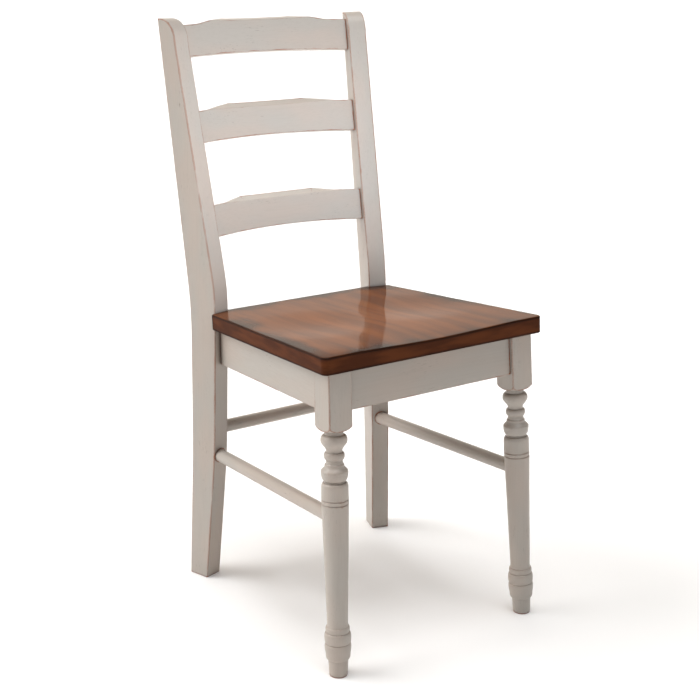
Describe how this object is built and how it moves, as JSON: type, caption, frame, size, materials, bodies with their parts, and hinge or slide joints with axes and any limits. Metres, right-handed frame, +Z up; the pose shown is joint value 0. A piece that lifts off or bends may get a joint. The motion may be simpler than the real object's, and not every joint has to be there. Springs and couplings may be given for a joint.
{
  "type": "ladder-back side chair",
  "caption": "Wooden side chair with turned front legs, curved rear posts, bowed ladder-back slats and a stained saddle seat.",
  "frame": {"origin": "on the floor, in the middle of the chair's overall width and depth", "axes": "+Z up, -Y toward the front of the chair, +X to the right as seen from the front"},
  "size_m": [0.415, 0.5568, 0.9527],
  "materials": {
    "greige_paint": "satin paint, rubbed through at the edges",
    "stained_seat": "clear lacquer over orange-brown stain",
    "raw_wood": "bare",
    "zinc_steel": "zinc plated"
  },
  "bodies": {
    "root": {"seat": "stained_seat", "apron_front": "greige_paint", "apron_left": "greige_paint", "apron_right": "greige_paint", "apron_rear": "greige_paint", "front_leg_left": "greige_paint", "front_leg_right": "greige_paint", "rear_post_left": "greige_paint", "rear_post_right": "greige_paint", "lower_slat": "greige_paint", "middle_slat": "greige_paint", "top_rail": "greige_paint", "stretcher_left": "greige_paint", "stretcher_right": "greige_paint", "stretcher_rear": "greige_paint", "corner_block_front_left": "raw_wood", "corner_block_front_right": "raw_wood", "corner_block_rear_left": "raw_wood", "corner_block_rear_right": "raw_wood", "hanger_bolt_left": "zinc_steel", "hanger_bolt_right": "zinc_steel", "washer_left": "zinc_steel", "washer_right": "zinc_steel", "nut_left": "zinc_steel", "nut_right": "zinc_steel", "apron_dowels": "raw_wood", "block_screws": "zinc_steel", "seat_screws": "zinc_steel"}
  },
  "joints": []
}
